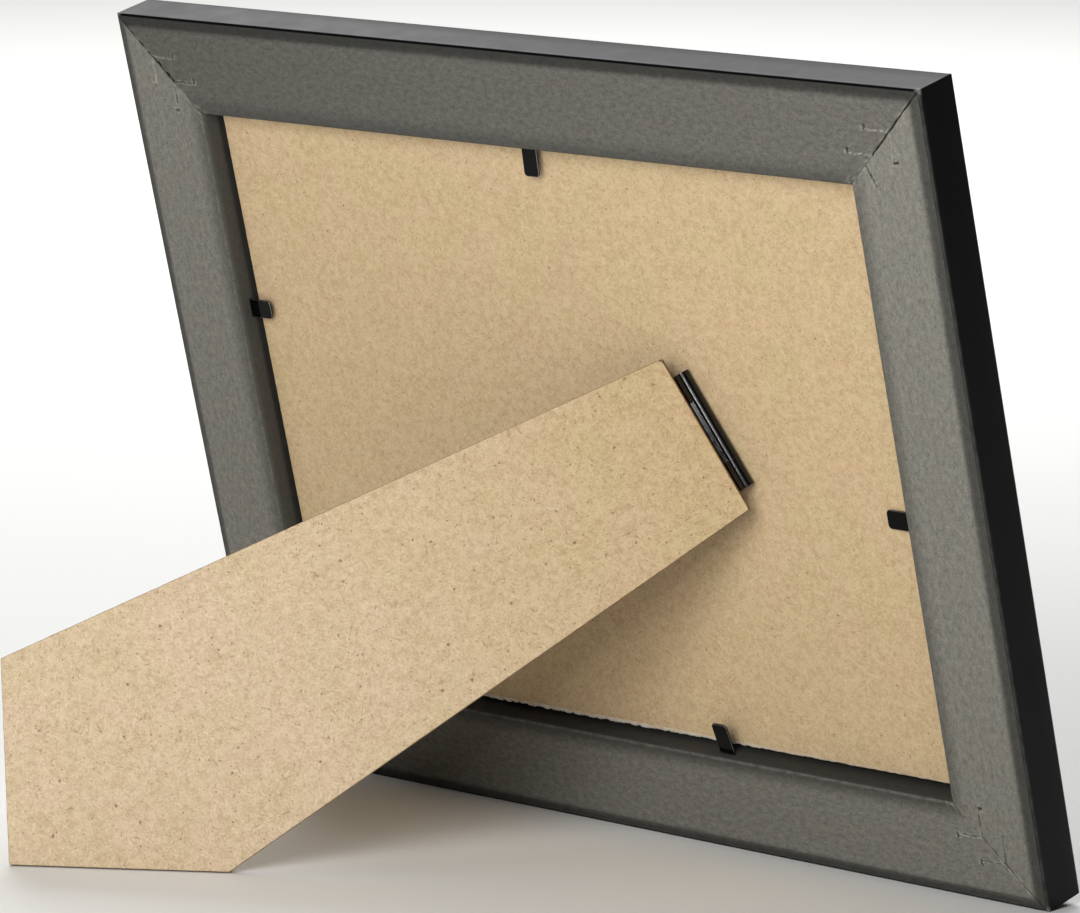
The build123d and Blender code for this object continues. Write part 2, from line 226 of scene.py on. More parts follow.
def makeFibreboard(name, sheet):
    # Thin raw fibreboard, hot pressed and sanded: tan and clouded, brown where it is dense, felted with pale and dark
    # fibres and flecked with bark
    material, tree, shader = newMaterial(name)
    place = addNode(tree, "ShaderNodeAttribute", attribute_name="along")
    vector = place.outputs["Vector"]
    clump = addNode(tree, "ShaderNodeTexNoise", {"Vector": vector, "Scale": 1 / (fibreboard["clump"] * mm),
                                                 "Detail": 3.0, "Roughness": 0.6})
    grain = addNode(tree, "ShaderNodeTexNoise", {"Vector": vector, "Scale": 1 / (fibreboard["grain"] * mm),
                                                 "Detail": 2.0, "Roughness": 0.7})
    drift = addNode(tree, "ShaderNodeTexNoise", {"Vector": vector, "Scale": 1 / (fibreboard["drift"] * mm),
                                                 "Detail": 3.0})
    hueShare = addNode(tree, "ShaderNodeMapRange", {"Value": drift.outputs["Fac"], "From Min": 0.35,
                                                    "From Max": 0.65})
    hue = addNode(tree, "ShaderNodeMix", {"Factor": hueShare.outputs["Result"], 6: linear(sheet["yellow"]),
                                          7: linear(sheet["pink"])}, data_type="RGBA")
    tone = addNode(tree, "ShaderNodeMath", {0: clump.outputs["Fac"], 1: grain.outputs["Fac"]}, operation="ADD")
    dense = addNode(tree, "ShaderNodeMapRange", {"Value": tone.outputs["Value"], "From Min": 1.05, "From Max": 0.6,
                                                 "To Max": sheet["spread"]})
    browned = addNode(tree, "ShaderNodeMix", {"Factor": dense.outputs["Result"], 6: hue.outputs[2],
                                              7: linear(sheet["dark"])}, data_type="RGBA")
    loose = addNode(tree, "ShaderNodeMapRange", {"Value": tone.outputs["Value"], "From Min": 0.95, "From Max": 1.4,
                                                 "To Max": sheet["spread"]})
    colour = addNode(tree, "ShaderNodeMix", {"Factor": loose.outputs["Result"], 6: browned.outputs[2],
                                             7: linear(sheet["light"])}, data_type="RGBA").outputs[2]
    stretch = fibreboard["fibreWide"] / fibreboard["fibreLong"]
    streakPitch = fibreboard["fibreWide"] * fibreboard["fibreApart"] * mm
    shades = ((fibreboard["darkFibre"], sheet["bark"]), (fibreboard["paleFibre"], sheet["light"]))
    for turn in fibreboard["fibreTurns"]:  # fibres lie every way, some dark and some pale
        turned = addNode(tree, "ShaderNodeVectorRotate", {"Vector": vector, "Angle": math.radians(turn)},
                         rotation_type="Z_AXIS")
        drawn = addNode(tree, "ShaderNodeVectorMath", {0: turned.outputs["Vector"], 1: (stretch, 1, 1)},
                        operation="MULTIPLY")
        streak = addNode(tree, "ShaderNodeTexNoise", {"Vector": drawn.outputs["Vector"], "Scale": 1 / streakPitch,
                                                      "Detail": 1.0, "Distortion": 1.0})
        for (low, high), shade in shades:
            share = addNode(tree, "ShaderNodeMapRange", {"Value": streak.outputs["Fac"], "From Min": low,
                                                         "From Max": high, "To Max": sheet["fibres"]})
            colour = addNode(tree, "ShaderNodeMix", {"Factor": share.outputs["Result"], 6: colour,
                                                     7: linear(shade)}, data_type="RGBA").outputs[2]
    for pitch, radius in sheet["specks"]:  # bark: one speck in each cell of the pitch, of any size up to the radius
        speck = addNode(tree, "ShaderNodeTexVoronoi", {"Vector": vector, "Scale": 1 / (pitch * mm)},
                        voronoi_dimensions="2D")
        edge = addNode(tree, "ShaderNodeMath", {0: speck.outputs["Distance"], 1: grain.outputs["Fac"]},
                       operation="MULTIPLY")
        chance = addNode(tree, "ShaderNodeSeparateColor", {"Color": speck.outputs["Color"]})
        smaller = addNode(tree, "ShaderNodeMath", {0: chance.outputs["Red"], 2: edge.outputs["Value"],
                                                   1: fibreboard["speckVary"] * radius / pitch},
                          operation="MULTIPLY_ADD")
        speckShare = addNode(tree, "ShaderNodeMapRange", {"Value": smaller.outputs["Value"],
                                                          "From Min": fibreboard["speckRim"] * radius / pitch,
                                                          "From Max": fibreboard["speckHeart"] * radius / pitch,
                                                          "To Max": fibreboard["speckDark"]})
        colour = addNode(tree, "ShaderNodeMix", {"Factor": speckShare.outputs["Result"], 6: colour,
                                                 7: linear(sheet["bark"])}, data_type="RGBA").outputs[2]
    # Painted shade: the colour is multiplied by a tint as far as the vertex attribute says; on the strut this draws
    # it browner towards the head
    headShade = addNode(tree, "ShaderNodeAttribute", attribute_name="headShade")
    headShadeTint = addNode(tree, "ShaderNodeMix", {"Factor": headShade.outputs["Fac"], 6: (1, 1, 1, 1),
                                            7: linear(sheet["headShadeTint"])}, data_type="RGBA")
    headShaded = addNode(tree, "ShaderNodeVectorMath", {0: colour, 1: headShadeTint.outputs[2]}, operation="MULTIPLY")
    frayed = addNode(tree, "ShaderNodeAttribute", attribute_name="frayed")
    edged = addNode(tree, "ShaderNodeMix", {"Factor": frayed.outputs["Fac"], 6: headShaded.outputs["Vector"],
                                            7: linear(sheet["torn"])}, data_type="RGBA")
    bump = addNode(tree, "ShaderNodeBump", {"Height": tone.outputs["Value"], "Strength": 0.4, "Distance": 0.04 * mm})
    tree.links.new(edged.outputs[2], shader.inputs["Base Color"])
    tree.links.new(bump.outputs["Normal"], shader.inputs["Normal"])
    shader.inputs["Roughness"].default_value = 0.72
    shader.inputs["Specular IOR Level"].default_value = 0.3
    return material


lacquer = dict(colour="#060607", thin="#191412", ripple=1.2, hingeShine=0.4, tabShine=0.1)


def makeLacquer(name, shine):
    # Pressed steel dipped in black lacquer: glossy, a little rippled, thin and brownish in places
    material, tree, shader = newMaterial(name)
    place = addNode(tree, "ShaderNodeTexCoord")
    ripple = addNode(tree, "ShaderNodeTexNoise", {"Vector": place.outputs["Object"],
                                                  "Scale": 1 / (lacquer["ripple"] * mm), "Detail": 2.0})
    thin = addNode(tree, "ShaderNodeMapRange", {"Value": ripple.outputs["Fac"], "From Min": 0.55, "From Max": 0.8,
                                                "To Max": 0.5})
    tone = addNode(tree, "ShaderNodeMix", {"Factor": thin.outputs["Result"], 6: linear(lacquer["colour"]),
                                           7: linear(lacquer["thin"])}, data_type="RGBA")
    rough = addNode(tree, "ShaderNodeMapRange", {"Value": ripple.outputs["Fac"], "From Min": 0.3, "From Max": 0.7,
                                                 "To Min": 0.05, "To Max": 0.1})
    bump = addNode(tree, "ShaderNodeBump", {"Height": ripple.outputs["Fac"], "Strength": 0.1,
                                            "Distance": 0.02 * mm})
    tree.links.new(tone.outputs[2], shader.inputs["Base Color"])
    tree.links.new(rough.outputs["Result"], shader.inputs["Roughness"])
    tree.links.new(bump.outputs["Normal"], shader.inputs["Normal"])
    shader.inputs["IOR"].default_value = 1.5
    shader.inputs["Specular IOR Level"].default_value = shine
    return material


bareSteel = dict(colour="#8f8f90", dull="#6f6c69", draw=0.5)


def makeBareSteel():
    # Drawn steel, uncoated: grey metal with dull and bright patches
    material, tree, shader = newMaterial("bare steel, drawn")
    place = addNode(tree, "ShaderNodeTexCoord")
    patch = addNode(tree, "ShaderNodeTexNoise", {"Vector": place.outputs["Object"],
                                                 "Scale": 1 / (bareSteel["draw"] * mm), "Detail": 2.0})
    tone = addNode(tree, "ShaderNodeMix", {"Factor": patch.outputs["Fac"], 6: linear(bareSteel["colour"]),
                                           7: linear(bareSteel["dull"])}, data_type="RGBA")
    rough = addNode(tree, "ShaderNodeMapRange", {"Value": patch.outputs["Fac"], "To Min": 0.25, "To Max": 0.5})
    tree.links.new(tone.outputs[2], shader.inputs["Base Color"])
    tree.links.new(rough.outputs["Result"], shader.inputs["Roughness"])
    shader.inputs["Metallic"].default_value = 1.0
    return material


paper = dict(colour="#f1f0ec", shade="#e6e4de", fibre=0.6)


def makePaper():
    # Uncoated white card: matt, with a faint felt of fibres
    material, tree, shader = newMaterial("white card, uncoated")
    place = addNode(tree, "ShaderNodeTexCoord")
    felt = addNode(tree, "ShaderNodeTexNoise", {"Vector": place.outputs["Object"],
                                                "Scale": 1 / (paper["fibre"] * mm), "Detail": 4.0})
    tone = addNode(tree, "ShaderNodeMix", {"Factor": felt.outputs["Fac"], 6: linear(paper["colour"]),
                                           7: linear(paper["shade"])}, data_type="RGBA")
    bump = addNode(tree, "ShaderNodeBump", {"Height": felt.outputs["Fac"], "Strength": 0.2, "Distance": 0.02 * mm})
    tree.links.new(tone.outputs[2], shader.inputs["Base Color"])
    tree.links.new(bump.outputs["Normal"], shader.inputs["Normal"])
    shader.inputs["Roughness"].default_value = 0.85
    return material


glass = dict(tint="#fafdfb", wave=40.0, haze=0.03)


def makeGlass():
    # Soda-lime float glass, cut and seamed: clear, faintly green, with polished faces
    material, tree, shader = newMaterial("clear float glass, seamed")
    place = addNode(tree, "ShaderNodeTexCoord")
    wave = addNode(tree, "ShaderNodeTexNoise", {"Vector": place.outputs["Object"],
                                                "Scale": 1 / (glass["wave"] * mm)})
    rough = addNode(tree, "ShaderNodeMapRange", {"Value": wave.outputs["Fac"], "To Max": glass["haze"]})
    tree.links.new(rough.outputs["Result"], shader.inputs["Roughness"])
    shader.inputs["Base Color"].default_value = linear(glass["tint"])
    shader.inputs["Transmission Weight"].default_value = 1.0
    shader.inputs["IOR"].default_value = 1.52
    return material


foilMaterial = makeFoil()
coreMaterial = makeCore("grey coated fibreboard, sanded", core["pale"], core["deep"])
wallMaterial = makeCore("grey coated fibreboard, milled", core["wallPale"], core["wallDeep"])
boardSheet = dict(yellow="#c3ac85", pink="#c6ab88", dark="#997546", light="#dfcba2", bark="#5e4022", torn="#f2f0ea",
                  headShadeTint="#ffffff", spread=0.42, fibres=0.28, specks=((6.5, 0.24), (2.7, 0.14)))
strutSheet = dict(yellow="#c8b390", pink="#cdb598", dark="#9a744a", light="#e6d4b4", bark="#5e4026", torn="#6a4a2b",
                  headShadeTint="#ece6d3", spread=0.42, fibres=0.38, specks=((6.0, 0.34), (2.2, 0.18)))
boardMaterial = makeFibreboard("raw fibreboard, pressed, olive tan", boardSheet)
strutMaterial = makeFibreboard("raw fibreboard, pressed, pinkish tan", strutSheet)
hingeMaterial = makeLacquer("black lacquer on rolled steel", lacquer["hingeShine"])
tabMaterial = makeLacquer("black lacquer on spring steel", lacquer["tabShine"])
steelMaterial = makeBareSteel()
paperMaterial = makePaper()
glassMaterial = makeGlass()
print("materials made")


# Rails: the moulding's section drawn along each side, mitred, with the marks of saw and nails on its back

moulding = dict(width=21.5, lip=5.0, rebate=8.8, depth=10.8, crown=1.2, sightBevel=0.8, frontRound=1.0,
                band=2.2, bandStep=0.3, edgeRound=0.5, innerRound=1.2)
nails = dict(places=[share * moulding["width"] for share in (0.425, 0.67)], leg=6.5, fine=0.12, coarse=0.6)

# Each length of moulding. grey: painted light and shade of its back, at its two ends; darkening and lapOver: how much
# darker the foil band at the outer edge of the back is drawn, a painted sheen for the black foil, and where that
# ends;
# inner: how much darker the back gets at the inner edge; rim: how much of that is taken back again just inside it;
# wall and deep: painted light of the rebate wall, and how dark the painted shade on its lower part is;
# rubbedAndSheen:
# how strong the pale line along the outer edge's round is, painted highlight and wear.
lengths = dict(
    bottom_rail=dict(grey=(0.51, 0.85), darkening=0.76, lapOver=(1.5, 3.1), inner=0.72, rim=0.6, wall=0.36, deep=0.15,
                     rubbedAndSheen=0.0),
    left_rail=dict(grey=(0.90, 0.99), darkening=0.72, lapOver=(2.1, 3.6), inner=0.45, rim=0.2, wall=0.6, deep=0.65,
                   rubbedAndSheen=0.38),
    top_rail=dict(grey=(0.66, 0.46), darkening=0.78, lapOver=(1.7, 3.3), inner=0.42, rim=0.1, wall=0.6, deep=0.65,
                  rubbedAndSheen=0.0),
    right_rail=dict(grey=(0.88, 0.82), darkening=0.70, lapOver=(1.2, 2.6), inner=0.52, rim=0.2, wall=0.76, deep=0.5,
                    rubbedAndSheen=0.1),
)
innerShade = dict(low=16.5, high=21.2, deepLow=3.4, deepHigh=4.6)  # where the back darkens towards the inner edge, and how far down the rebate wall its painted shade lies
coating = dict(ripple=0.035, ripplePitch=1.7, chip=0.10, chipPitch=1.1, cutBack=0.015, crackBack=0.11, fray=0.3,
               frayWide=0.30, rubPitch=2.3, rimPitch=1.9, patternApart=31)
wear = dict(crackDeep=0.42, crackHalf=0.17, wander=0.22, strayFrom=6.8, mitreHalf=0.28, lipHigh=0.16, lipOut=0.36,
            lipHalf=0.16, tickHalf=1.05, tickOut=0.65, tickThin=0.18, tickLip=0.35, reach=2.6)
# Places along a rail, counted from its mitre: close at the mitre and where the nails' legs end
stationing = dict(mitre=[0.0, 0.1, 0.22, 0.36, 0.54, 0.76, 1.0], last=26.0, midRail=13.0, middle=1.6,
                  runs=((1.3, 5.0, 0.3), (5.0, 7.8, 0.13), (7.8, 12.0, 0.7), (12.0, 26.0, 1.4)))

# How each corner was nailed. gap: how open the mitre is from the outer corner to each nail and to the inner corner,
# and over 1 also how wide. nails: for the outer and the inner nail, on this rail and on the next, how cracked, lipped
# and ticked its leg is, and how far the crack strays outwards in each millimetre, from a start farther in.
cornerMarks = dict(
    bottom_left=dict(gap=(1.0, 0.6, 0.1), nails=(((0.6, 0.5, 1.0, 0.0), (0.7, 0.2, 0.2, 0.0)),
                                                 ((0.7, 0.9, 1.0, 0.0), (0.8, 0.4, 0.9, 0.0)))),
    top_left=dict(gap=(1.2, 1.1, 0.1), nails=(((0.1, 0.6, 1.0, 0.0), (0.1, 1.0, 0.8, 0.0)),
                                              ((1.0, 0.5, 0.0, 0.34), (0.1, 0.9, 1.0, 0.0)))),
    top_right=dict(gap=(1.5, 2.1, 0.4), nails=(((0.2, 0.7, 0.5, 0.0), (0.3, 1.0, 0.4, 0.0)),
                                               ((0.7, 0.5, 0.8, 0.0), (1.0, 0.5, 0.8, 0.0)))),
    bottom_right=dict(gap=(0.5, 0.5, 0.2), nails=(((0.3, 0.7, 0.8, 0.0), (0.5, 0.5, 0.7, 0.0)),
                                                  ((0.6, 0.6, 0.7, 0.0), (0.3, 0.8, 0.8, 0.0)))),
)


def mouldingSection():  # (across the rail, out of the back, zone), from the outer edge over the back and round
    m = moulding
    sight = m["width"] + m["lip"]
    outerLow = m["bandStep"] + m["edgeRound"]
    rows = [(t, w, "foil") for t, w in arc((m["edgeRound"], -outerLow), m["edgeRound"], 180, 90, 6)]
    rows[-1] = (m["edgeRound"], -m["bandStep"], "back")
    rows += [(t, -m["bandStep"], "back") for t in (1.0, 1.5, m["band"] - 0.15)]
    rows += [(m["band"] + 0.02, -m["bandStep"] + 0.05, "back"), (m["band"] + m["bandStep"] - 0.05, -0.05, "back")]
    low = m["band"] + m["bandStep"] + 0.15
    for place in nails["places"]:
        rows += [(t, 0, "back") for t in steps(low, place - wear["reach"], nails["coarse"])]
        rows += [(t, 0, "back") for t in steps(place - wear["reach"], place + wear["reach"], nails["fine"])]
        low = place + wear["reach"]
    rows += [(t, 0, "back") for t in steps(low, m["width"] - m["innerRound"], nails["coarse"])]
    roundCentre = (m["width"] - m["innerRound"], -m["innerRound"])
    rows += [(t, w, "back") for t, w in arc(roundCentre, m["innerRound"], 90, 50, 4)]
    rows += [(t, w, "wall") for t, w in arc(roundCentre, m["innerRound"], 49.5, 0, 4)]
    rows += [(m["width"], -w, "wall") for w in steps(m["innerRound"], m["rebate"] - 0.1, 0.8)[1:]]
    rows += [(m["width"], -m["rebate"], "wall"), (m["width"] + m["lip"] / 2, -m["rebate"], "wall")]
    rows += [(sight - 0.1, -m["rebate"], "foil"), (sight, -m["rebate"] - 0.1, "foil")]
    rows += [(sight, m["sightBevel"] - m["depth"] + 0.1, "foil"), (sight - 0.05, m["sightBevel"] - m["depth"] - 0.05,
                                                                   "foil")]
    chord = sight - m["sightBevel"]
    radius = chord ** 2 / 8 / m["crown"] + m["crown"] / 2
    centre = (chord / 2, radius - m["depth"] - m["crown"])
    roundRise = math.sqrt((radius - m["frontRound"]) ** 2 - (m["frontRound"] - centre[0]) ** 2)
    frontCentre = (m["frontRound"], centre[1] - roundRise)
    startTurn = math.degrees(math.atan2(-m["depth"] - centre[1], chord / 2))
    endTurn = math.degrees(math.atan2(-roundRise, m["frontRound"] - centre[0]))
    rows += [(t, w, "foil") for t, w in arc(centre, radius, startTurn + 0.12, endTurn, 24)]
    rows += [(t, w, "foil") for t, w in arc(frontCentre, m["frontRound"], endTurn % 360, 180, 6)[1:]]
    rows += [(0, w, "foil") for w in (-6.5, -3.5, -1.1)]
    return rows


def backMarks(marks, side, d, t, seed):  # lift, crack and torn fibre at a point of the back, near one end
    crack = torn = 0.0
    leg = nails["leg"]
    for place, legs, key in zip(nails["places"], marks["nails"], (3.0, 7.0)):  # each nail has its own noise
        opened, lipped, ticked, strays = legs[side]
        wander = wear["wander"] * noise.noise(Vector((d * 0.55, key, seed)))
        off = t - place - wander + strays * (d - wear["strayFrom"])
        window = ramp(d, 0.0, 0.3) * (1 - ramp(d, leg - 0.3, leg + 0.2))
        broken = ramp(noise.noise(Vector((d * 0.8, key + 1, seed))), -0.35, 0.15)
        frayed = ramp(noise.noise(Vector((d * 1.3, t * 1.3, seed + key))), -0.3, 0.25)
        crack = max(crack, opened * window * broken * bell(off, wear["crackHalf"]))
        torn = max(torn, lipped * window * frayed * bell(abs(off) - wear["lipOut"] * opened, wear["lipHalf"]))
        along = (d - leg - off) / math.sqrt(2) - wear["tickOut"]
        beside = (d - leg + off) / math.sqrt(2)
        tick = ticked * (1 - ramp(abs(along), wear["tickHalf"] - 0.25, wear["tickHalf"]))
        crack = max(crack, tick * bell(beside + 0.05 * math.sin(along * 4 + seed), wear["tickThin"]))
        torn = max(torn, 0.7 * tick * frayed * bell(abs(beside) - wear["tickLip"], wear["lipHalf"]))
    inner = moulding["width"]
    stops = (0.0, nails["places"][0], nails["places"][1], inner)
    opening = 0.0
    for low, high, gap in zip(stops, stops[1:], marks["gap"]):
        if low <= t <= high:
            opening = gap
    opening *= 0.3 + 0.7 * ramp(noise.noise(Vector((t * 0.9, seed, 2.0))), -0.25, 0.2)  # beaded along the mitre
    crack = max(crack, min(1.0, opening * bell(d, wear["mitreHalf"] * max(1.0, opening))))
    frayed = ramp(noise.noise(Vector((d * 1.5, t * 1.1, seed + 11))), 0.0, 0.3)
    torn = max(torn, 0.6 * frayed * bell(d - 0.4, 0.3) * ramp(t, 2.6, 4.0))
    torn = max(torn, 0.8 * frayed * ramp(t, inner - 3.5, inner - 0.6) * (1 - ramp(d, 1.0, 4.0)))
    return wear["lipHigh"] * torn - wear["crackDeep"] * crack, crack, torn


def makeRail(index):
    name = railNames[index]
    turn = index * math.pi / 2
    length, breadth = outerSize if index % 2 == 0 else outerSize[::-1]
    railHome = home @ Matrix.Rotation(turn, 4, "Z") @ Matrix.Translation((0, -breadth * mm / 2, 0))
    section = mouldingSection()
    coat = lengths[name]
    ends = (cornerMarks[cornerNames[index - 1]], cornerMarks[cornerNames[index]])
    last = stationing["last"]
    near = stationing["mitre"] + [d for run in stationing["runs"] for d in steps(*run)] + [last]
    middleCount = round((length - 2 * (last + stationing["midRail"])) / stationing["middle"])
    stations = [(-1, d, 0.0) for d in near] + [(0, last, i / middleCount) for i in range(1, middleCount)]
    stations += [(1, d, 0.0) for d in reversed(near)]
    bm = bmesh.new()
    alongLayer = bm.verts.layers.float_vector.new("along")
    marksLayer = bm.verts.layers.float_vector.new("marks")
    darkeningLayer = bm.verts.layers.float.new("darkening")
    paintedLightLayer = bm.verts.layers.float.new("paintedLight")
    grid = []
    inner = moulding["width"]
    for end, d, share in stations:
        row = []
        for t, w, zone in section:
            half = length / 2 - t - d
            s = half * end if end else half * (2 * share - 1)
            lift = crack = torn = shiftT = 0.0
            seed = index * 5.0 + end
            if zone == "back":
                if end:
                    lift, crack, torn = backMarks(ends[end > 0], 0 if end > 0 else 1, d, t, seed)
                pitch = coating["ripplePitch"]
                lift += coating["ripple"] * noise.fractal(Vector((s / pitch, t / pitch, index)), 1.0, 2.0, 3)
                rough = noise.fractal(Vector((s / coating["chipPitch"], index * 3.0, 1.0)), 1.0, 2.0, 3)
                shiftT = -coating["chip"] * abs(rough) * ramp(t, inner - 0.8, inner - 0.2)
                lift *= ramp(t, moulding["band"], moulding["band"] + 1.0)
            if end and d == 0.0:  # the cut end stands back a little, so that the mitre shows as a crack
                s -= end * (coating["cutBack"] + coating["crackBack"] * crack)
            fray = coating["fray"] * bell(t - (inner - 0.25), coating["frayWide"]) if zone == "back" else 0.0
            if zone == "foil" and w > -1:  # painted highlight along the outer edge's round, as strong as each rail gives, and worn corner tips
                rub = ramp(noise.noise(Vector((s / coating["rubPitch"], t, index * 4.0))), -0.35, 0.2)
                torn = coat["rubbedAndSheen"] * (0.55 + 0.45 * rub) * bell(t - 0.2, 0.2)
                if end:
                    torn = max(torn, 0.9 * (1 - ramp(d + t, 0.6, 1.6)))
            vert = bm.verts.new(railHome @ Vector((s * mm, (t + shiftT) * mm, (w + lift) * mm)))
            vert[alongLayer] = Vector((s * mm, (t + index * coating["patternApart"]) * mm, w * mm))
            vert[marksLayer] = Vector((crack, torn, fray))
            # painted sheen of the foil band, fading out across the band, and darker towards the inner edge
            darkening = max(coat["darkening"] * (1 - ramp(t, *coat["lapOver"])),
                      coat["inner"] * ramp(t, innerShade["low"], innerShade["high"]))
            if zone == "back":  # less dark again in a broken band just inside the inner edge
                rim = ramp(noise.noise(Vector((s / coating["rimPitch"], 8.0, index))), -0.4, 0.1)
                darkening *= 1 - coat["rim"] * (0.4 + 0.6 * rim) * bell(t - (inner - 0.7), 0.3)
            # painted light and shade: the back's grey is graded from one end of the rail to the other for how the
            # light falls, darkest at one end of the bottom rail where the strut's shadow lies; a rebate wall gets one
            # grey for how it faces the light
            grey = coat["grey"][0] + (coat["grey"][1] - coat["grey"][0]) * (s / length + 0.5)
            if zone == "wall":
                # painted shade: the rebate wall is drawn darker low down, by the board, where the gap lies in shade
                darkening = coat["deep"] * ramp(-w, innerShade["deepLow"], innerShade["deepHigh"])
                grey = coat["wall"]
            vert[darkeningLayer] = darkening
            vert[paintedLightLayer] = grey
            row.append(vert)
        grid.append(row)
    zoneIndex = dict(foil=0, back=1, wall=2)
    count = len(section)
    for rowA, rowB in zip(grid, grid[1:]):
        for k in range(count):
            n = (k + 1) % count
            face = bm.faces.new((rowA[k], rowA[n], rowB[n], rowB[k]))
            face.material_index = zoneIndex[section[k][2]]
            face.smooth = True
    for row in (grid[0], grid[-1]):
        bm.faces.new(row).material_index = zoneIndex["back"]
    bmesh.ops.recalc_face_normals(bm, faces=bm.faces[:])
    mesh = bpy.data.meshes.new(name + "_moulding")
    bm.to_mesh(mesh)
    bm.free()
    mesh.set_sharp_from_angle(angle=math.radians(38))
    for material in (foilMaterial, coreMaterial, wallMaterial):
        mesh.materials.append(material)
    addPiece(name + "_moulding", mesh, "frame", [name])


for index in range(4):
    makeRail(index)
print("rails made")


# Board, strut, card: flat plates, their outline and thickness read from the frame

def plateOf(node):  # home of the plate, its outline in millimetres and its thickness
    mesh = frame["nodes"][node].data
    widest = max(mesh.polygons, key=lambda polygon: polygon.area)
    points = [v.co for v in mesh.vertices]
    normal = widest.normal.normalized()
    if normal.dot(outward) < 0:
        normal = -normal
    xAxis = across - normal * across.dot(normal)
    xAxis.normalize()
    yAxis = normal.cross(xAxis)
    low, high = reach(points, normal)
    plateHome = Matrix((xAxis, yAxis, normal)).transposed().to_4x4()
    plateHome.translation = normal * low
    flat = [Vector((p.dot(xAxis), p.dot(yAxis))) for p in points]
    outline = [flat[i] / mm for i in convex_hull_2d(flat)]
    return plateHome, outline, (high - low) / mm


def roundedOutline(outline, radius, pitch):  # points along the outline, with its corners turned on a radius
    clean = []
    for i, corner in enumerate(outline):  # drop points that lie on a straight edge
        before = (corner - outline[i - 1]).normalized()
        after = (outline[(i + 1) % len(outline)] - corner).normalized()
        if before.dot(after) < 0.9998:
            clean.append(corner)
    points = []
    for i, corner in enumerate(clean):
        before = (clean[i - 1] - corner).normalized()
        after = (clean[(i + 1) % len(clean)] - corner).normalized()
        halfTurn = math.acos(max(-1, min(1, before.dot(after)))) / 2
        setBack = radius / math.tan(halfTurn)
        start, end = corner + before * setBack, corner + after * setBack
        centre = corner + (before + after).normalized() * radius / math.sin(halfTurn)
        for step in range(5):
            mid = start.lerp(end, step / 4) - centre
            points.append(centre + mid.normalized() * radius)
        following = clean[(i + 1) % len(clean)]
        nextBefore = (corner - following).normalized()
        nextAfter = (clean[(i + 2) % len(clean)] - following).normalized()
        nextHalf = math.acos(max(-1, min(1, nextBefore.dot(nextAfter)))) / 2
        stop = following + nextBefore * radius / math.tan(nextHalf)
        points += [end + (stop - end) * (s / (stop - end).length)
                   for s in steps(0, (stop - end).length, pitch)[1:]]
    return points


def makePlate(name, node, body, material, settings, headShadeOf=lambda point: 0.0, frayOf=lambda point, level: 0.0):
    plateHome, outline, thickness = plateOf(node)
    plateHome.translation += plateHome.col[2].to_3d() * settings["seat"] * mm  # a hair of air at both faces
    thickness -= 2 * settings["seat"]
    ring = roundedOutline(outline, settings["corner"], settings["pitch"])
    centre = sum(ring, Vector((0, 0))) / len(ring)
    edge = settings["edge"]
    levels = [(settings["flat"], 0.0), (edge, 0.0), (0.0, edge), (0.0, thickness / 2), (0.0, thickness - edge),
              (edge, thickness), (settings["flat"], thickness), (settings["flat"] * 1.5, thickness)]  # inset, height
    bm = bmesh.new()
    alongLayer = bm.verts.layers.float_vector.new("along")
    headShadeLayer = bm.verts.layers.float.new("headShade")
    frayedLayer = bm.verts.layers.float.new("frayed")
    count = len(ring)
    loops, normals = [], []
    for i, p in enumerate(ring):
        tangent = (ring[(i + 1) % count] - ring[i - 1]).normalized()
        inwardDir = Vector((-tangent.y, tangent.x))
        if inwardDir.dot(centre - p) < 0:
            inwardDir = -inwardDir
        normals.append(inwardDir)
    for level, (inset, height) in enumerate(levels):
        loop = []
        for i, p in enumerate(ring):
            rough = 0.5 + 0.5 * noise.fractal(Vector((p.x / 1.3, p.y / 1.3, level * 0.9)), 1.0, 2.0, 3)
            fray = settings["fray"] * rough if 0 < level < 6 else 0.0
            frayed = frayOf(plateHome @ Vector((p.x * mm, p.y * mm, height * mm)), level)
            fringe = settings["fringe"] * frayed if level in (4, 5) else 0.0  # fibre hangs out at the back's edge
            q = p + normals[i] * (inset + fray - fringe)
            sag = settings["fray"] * 0.6 * rough if level in (1, 5) else 0.0
            z = height + (sag if level == 1 else -sag)
            vert = bm.verts.new(plateHome @ Vector((q.x * mm, q.y * mm, z * mm)))
            vert[alongLayer] = Vector((q.x * mm, q.y * mm, z * mm))
            vert[headShadeLayer] = headShadeOf(vert.co)
            vert[frayedLayer] = frayed
            loop.append(vert)
        loops.append(loop)
    for loopA, loopB in zip(loops, loops[1:]):
        for i in range(count):
            n = (i + 1) % count
            bm.faces.new((loopA[i], loopA[n], loopB[n], loopB[i])).smooth = True
    for loop in (loops[0], loops[-1]):
        rim = [bm.edges.get((loop[i - 1], loop[i])) for i in range(count)]
        bmesh.ops.triangle_fill(bm, use_beauty=True, use_dissolve=False, edges=rim)
    bmesh.ops.recalc_face_normals(bm, faces=bm.faces[:])
    mesh = bpy.data.meshes.new(name)
    bm.to_mesh(mesh)
    bm.free()
    mesh.materials.append(material)
    return addPiece(name, mesh, body, [node])


